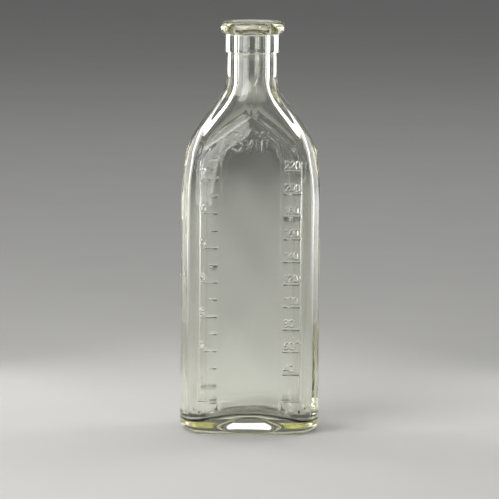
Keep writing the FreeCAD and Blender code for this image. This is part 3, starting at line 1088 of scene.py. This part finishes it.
@dataclass(frozen=True)
class PaperSweep:
    """Matt pale studio paper: nearly even, with a faint mottle."""

    colour: str = "#C9C8C4"
    shade: str = "#C3C2BE"
    mottle_mm: float = 60.0
    roughness: float = 0.75

    def material(self) -> bpy.types.Material:
        """Make the paper material.

        Returns:
            The material.
        """
        made = bpy.data.materials.new("paper_sweep")
        tree = emptied(made)
        place = node(tree, "TexCoord").outputs["Object"]
        mottle = node(tree, "TexNoise", {"Scale": 1 / (self.mottle_mm * MM), "Detail": 3.0}, {"Vector": place})
        colour = node(tree, "Mix", {6: linear(self.colour), 7: linear(self.shade)},
                      {0: mottle.outputs["Fac"]}, data_type="RGBA")
        shader = node(tree, "BsdfPrincipled", {"Roughness": self.roughness, "Specular IOR Level": 0.2},
                      {"Base Color": colour.outputs[2]})
        node(tree, "OutputMaterial", links={"Surface": shader.outputs["BSDF"]})
        return made


# ---- the bottle
@dataclass
class Bottle:
    """The medicine bottle: its glass, dressed and joined to the frame."""

    sizes: Sizes

    def build(self) -> list[bpy.types.Object]:
        """Build the glass, let it stand for the moulded regions of the frame, and dress it.

        Returns:
            The bottle's pieces.
        """
        glass = BottleGlass(self.sizes).make()
        glass.data.materials.append(SodaLimeGlass().material())
        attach(glass, BODY)
        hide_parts(*sorted(frame["nodes"]))
        return [glass]


# ---- the studio
@dataclass(frozen=True)
class Softbox:
    """One soft rectangular light turned to the bottle: aimed at its middle, or upright with its foot at a height."""

    name: str
    azimuth: float
    elevation: float
    distance: float
    width: float
    height: float
    power: float
    foot: float | None = None
    foot_strength: float = 0.12
    fade_to: float = 0.16

    def place(self, target: Vector) -> None:
        """Put the light in the scene.

        Args:
            target: the point that the light is turned to.
        """
        turn, rise = math.radians(self.azimuth), math.radians(self.elevation)
        away = Vector((math.sin(turn) * math.cos(rise), -math.cos(turn) * math.cos(rise), math.sin(rise)))
        light = bpy.data.lights.new(self.name, "AREA")
        light.shape, light.size, light.size_y, light.energy = "RECTANGLE", self.width, self.height, self.power
        lamp = placed(self.name, light)
        lamp.location = target + away * self.distance
        if self.foot is not None:
            lamp.location.z = self.foot + self.height / 2
            self.fade(light)
        lamp.rotation_mode = "QUATERNION"
        lamp.rotation_quaternion = away.to_track_quat("Z", "Y")
        lamp.visible_camera = False

    def fade(self, light: bpy.types.AreaLight) -> None:
        """Let an upright light grow dim towards its foot, as a box lit from its top does.

        Args:
            light: the light.
        """
        tree = emptied(light)
        split = node(tree, "SeparateXYZ", links={0: node(tree, "NewGeometry").outputs["Parametric"]})
        strength = node(tree, "MapRange", {"From Max": self.fade_to, "To Min": self.foot_strength},
                        {"Value": split.outputs["Y"]}, interpolation_type="SMOOTHSTEP")
        glow = node(tree, "Emission", links={"Strength": strength.outputs["Result"]})
        node(tree, "OutputLight", links={"Surface": glow.outputs["Emission"]})


@dataclass
class Studio:
    """A pale floor, soft light and the camera."""

    sizes: Sizes
    camera_distance: float = 1.6
    camera_elevation: float = 7.0
    camera_roll: float = 0.5
    camera_lens: float = 257.8
    aim_side_mm: float = -0.45
    aim_level_mm: float = 80.7
    camera_clip: tuple[float, float] = (0.05, 60.0)
    floor_radius: float = 9.0
    floor_sides: int = 96
    horizon: str = "#5C5C5C"
    zenith: str = "#7A7B7D"
    zenith_from: float = 0.55
    glass_bounces: int = 28

    def floor(self) -> None:
        """Lay a large round pale floor."""
        count = self.floor_sides
        turns = [2 * math.pi * i / count for i in range(count)]
        ring = [(self.floor_radius * math.cos(turn), self.floor_radius * math.sin(turn), 0.0) for turn in turns]
        mesh = bpy.data.meshes.new("studio_floor")
        mesh.from_pydata([(0.0, 0.0, 0.0), *ring], [], [(0, i + 1, (i + 1) % count + 1) for i in range(count)])
        mesh.materials.append(PaperSweep().material())
        placed("studio_floor", mesh)

    def surroundings(self) -> None:
        """Fill the room with dim light, darker towards the horizon."""
        world = bpy.data.worlds.new("studio_room")
        tree = emptied(world)
        split = node(tree, "SeparateXYZ", links={0: node(tree, "TexCoord").outputs["Generated"]})
        height = node(tree, "MapRange", {"From Max": self.zenith_from}, {"Value": split.outputs["Z"]},
                      interpolation_type="SMOOTHSTEP")
        colour = node(tree, "Mix", {6: linear(self.horizon), 7: linear(self.zenith)},
                      {0: height.outputs["Result"]}, data_type="RGBA")
        light = node(tree, "Background", links={"Color": colour.outputs[2]})
        node(tree, "OutputWorld", links={"Surface": light.outputs["Background"]})
        bpy.context.scene.world = world

    def lights(self) -> None:
        """Hang the softboxes."""
        for box in (Softbox("window_softbox", -42.0, 23.0, 0.9, 0.75, 0.9, 10.0),
                    Softbox("front_strip", 26.0, 18.0, 1.2, 0.1, 0.8, 1.6),
                    Softbox("left_rim_strip", -126.0, 0.0, 0.22, 0.1, 0.42, 0.33, foot=0.02),
                    Softbox("right_rim_strip", 124.0, 0.0, 0.22, 0.1, 0.42, 0.33, foot=0.02),
                    Softbox("top_softbox", 180.0, 68.0, 1.9, 1.8, 1.4, 11.0)):
            box.place(Vector((0.0, 0.0, self.sizes.height * MM / 2)))

    def camera(self) -> None:
        """Set up the camera: a long lens, a little above the bottle's middle and hardly tilted."""
        rise, roll = math.radians(self.camera_elevation), math.radians(self.camera_roll)
        back = Vector((0.0, -math.cos(rise), math.sin(rise)))
        right, up = Vector((1.0, 0.0, 0.0)), Vector((0.0, math.sin(rise), math.cos(rise)))
        side = right * math.cos(roll) + up * math.sin(roll)
        above = -right * math.sin(roll) + up * math.cos(roll)
        aim = Vector((self.aim_side_mm * MM, 0.0, self.aim_level_mm * MM))
        data = bpy.data.cameras.new("camera")
        data.lens = self.camera_lens
        data.clip_start, data.clip_end = self.camera_clip
        turned = Matrix((side, above, back)).transposed().to_4x4()
        camera = bpy.context.scene.camera = placed("camera", data)
        camera.matrix_world = Matrix.Translation(aim + back * self.camera_distance) @ turned

    def build(self) -> None:
        """Set up the studio, and let light turn often enough to leave the thick lip and foot again."""
        self.floor()
        self.surroundings()
        self.lights()
        self.camera()
        bpy.context.scene.view_settings.view_transform = "Standard"
        paths = bpy.context.scene.cycles
        paths.max_bounces = paths.glossy_bounces = paths.transmission_bounces = self.glass_bounces


def clear_defaults() -> None:
    """Remove what a new file holds, apart from the frame."""
    keep = set(frame["nodes"].values()) | set(frame["bodies"].values())
    for thing in list(bpy.data.objects):
        if thing not in keep:
            bpy.data.objects.remove(thing)


def main() -> None:
    """Build the bottle and the studio."""
    logging.basicConfig(level=logging.INFO, format="%(name)s: %(message)s")
    clear_defaults()
    sizes = Sizes.read()
    for piece in Bottle(sizes).build():
        triangles = sum(len(face.vertices) - 2 for face in piece.data.polygons)
        log.info("%s: %d vertices, %d triangles", piece.name, len(piece.data.vertices), triangles)
    Studio(sizes).build()


if __name__ == "__main__":
    main()
